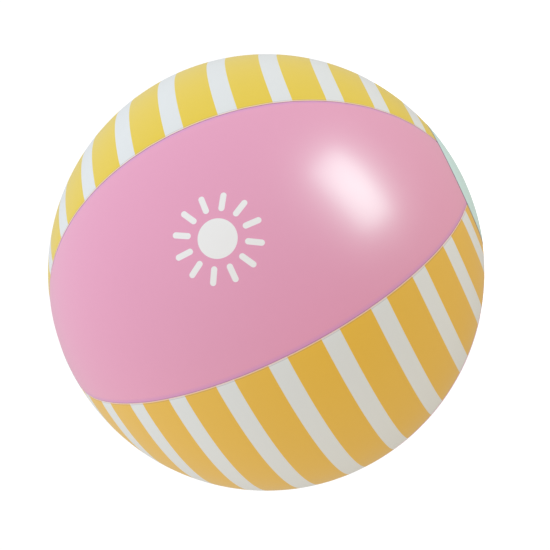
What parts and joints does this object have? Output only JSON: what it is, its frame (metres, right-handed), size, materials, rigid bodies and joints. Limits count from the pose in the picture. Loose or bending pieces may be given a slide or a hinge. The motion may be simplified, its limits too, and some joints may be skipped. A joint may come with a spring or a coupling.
{
  "type": "inflatable beach ball",
  "caption": "Blown-up vinyl beach ball of plain and striped lens-shaped panels, with round end discs and a push-in valve with a hinged plug.",
  "frame": {"origin": "centre of the blown-up ball", "axes": "+Z along the ball's polar axis, out of the end disc that carries the valve; -Y through the middle of the front pink panel; +X to its right"},
  "size_m": [0.3994, 0.3994, 0.4],
  "materials": {
    "pink_film": "glossy vinyl film",
    "striped_film": "glossy vinyl film with printed bands",
    "teal_film": "glossy vinyl film",
    "clear_vinyl": "milky moulded soft vinyl"
  },
  "bodies": {
    "ball": {"panel_pink_front": "pink_film", "panel_striped_right": "striped_film", "panel_teal": "teal_film", "panel_striped_back": "striped_film", "panel_pink_back": "pink_film", "panel_striped_left": "striped_film", "valve_disc": "teal_film", "plain_disc": "teal_film", "valve_flange": "clear_vinyl", "valve_skirt": "clear_vinyl"},
    "stem": {"valve_stem": "clear_vinyl", "plug_strap": "clear_vinyl"},
    "plug": {"valve_plug": "clear_vinyl"},
    "flap": {"check_flap": "clear_vinyl"}
  },
  "joints": [
    {"name": "valve_push", "type": "slide", "parent": "ball", "child": "stem", "axis": [0, 0, 1], "range_m": [0, 0.013], "deforming": ["valve_skirt"]},
    {"name": "plug_flip", "type": "hinge", "parent": "stem", "child": "plug", "pos_m": [0.0066, 0, 0.198], "axis": [0, 1, 0], "range_deg": [0, 120], "deforming": ["plug_strap"]},
    {"name": "flap_open", "type": "hinge", "parent": "stem", "child": "flap", "pos_m": [-0.0041, 0, 0.18423], "axis": [0, 1, 0], "range_deg": [0, 60], "stiffness_Nm_per_rad": 0.00005, "springref_deg": -20.05}
  ]
}
